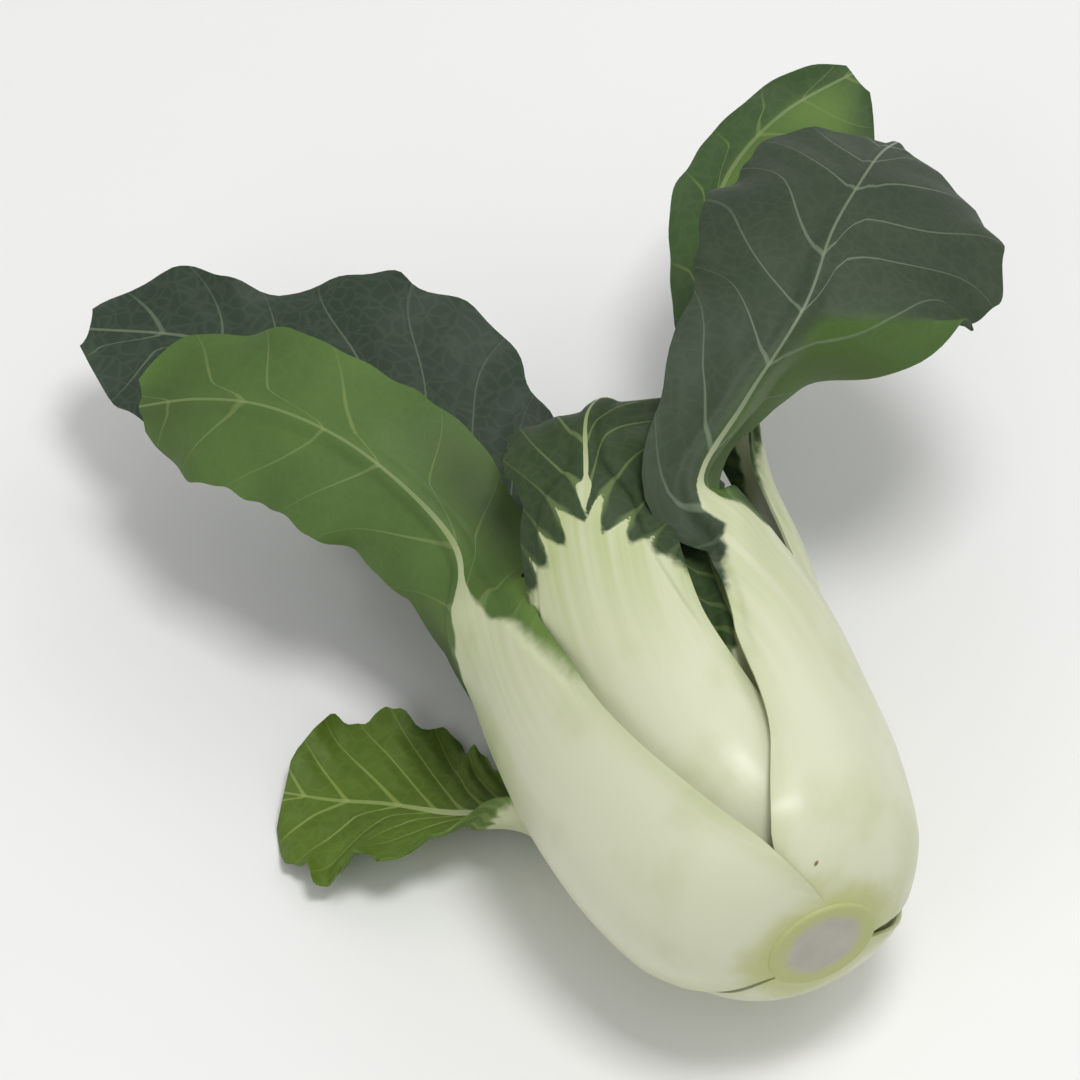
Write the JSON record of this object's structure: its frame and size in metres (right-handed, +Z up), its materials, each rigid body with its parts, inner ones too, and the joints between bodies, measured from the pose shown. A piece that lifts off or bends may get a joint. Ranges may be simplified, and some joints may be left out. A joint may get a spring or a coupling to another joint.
{
  "type": "bok choy",
  "caption": "Head of white-stemmed bok choy lying on its side, with a cut stem base, broad white stalks that wrap into a bulb and dark green blades that open and fold at the top.",
  "frame": {"origin": "the flat spot under the bottom leaf, on the surface that the head lies on", "axes": "+Z up from the surface, +Y along the head from the cut stem to the leaf tips, +X to the right as seen from the cut stem"},
  "size_m": [0.1711, 0.2048, 0.0901],
  "materials": {
    "stalk": "waxy satin",
    "blade": "satin",
    "cut_stem": "matte"
  },
  "bodies": {
    "root": {"stalk_1": "stalk", "stalk_2": "stalk", "stalk_3": "stalk", "stalk_4": "stalk", "stalk_5": "stalk", "stalk_6": "stalk", "stalk_7": "stalk", "stalk_8": "stalk", "stalk_9": "stalk", "stalk_10": "stalk", "stalk_11": "stalk", "stem_base": "cut_stem", "blade_1": "blade", "blade_2": "blade", "blade_3": "blade", "blade_4": "blade", "blade_5": "blade", "blade_6": "blade", "blade_7": "blade", "blade_8": "blade", "blade_9": "blade", "blade_10": "blade", "blade_11": "blade"}
  },
  "joints": []
}
